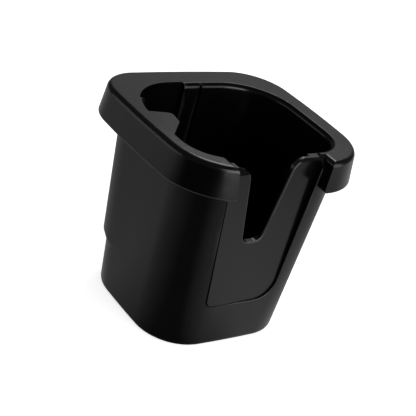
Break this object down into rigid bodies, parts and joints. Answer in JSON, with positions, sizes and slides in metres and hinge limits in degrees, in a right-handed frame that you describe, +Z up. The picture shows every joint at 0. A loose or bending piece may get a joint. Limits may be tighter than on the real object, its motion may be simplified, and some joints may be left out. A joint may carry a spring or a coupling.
{
  "type": "cup holder divider",
  "caption": "Moulded plastic cup holder insert: rounded tapered well, wide turned-down rim, V notch for a handle in an upright front panel, stop tab and corner pocket.",
  "frame": {"origin": "middle of the flat outside of the well's bottom; the flange overhangs it unevenly, so it isn't the middle of the bounding box", "axes": "+Z up out of the well, -Y towards the side with the V notch, +X to the right of someone who looks at the notch"},
  "size_m": [0.1196, 0.1123, 0.113],
  "materials": {
    "black_plastic": "satin moulded black, softly glossy on the rounded edges"
  },
  "bodies": {
    "root": {"cup_holder_divider": "black_plastic"}
  },
  "joints": []
}
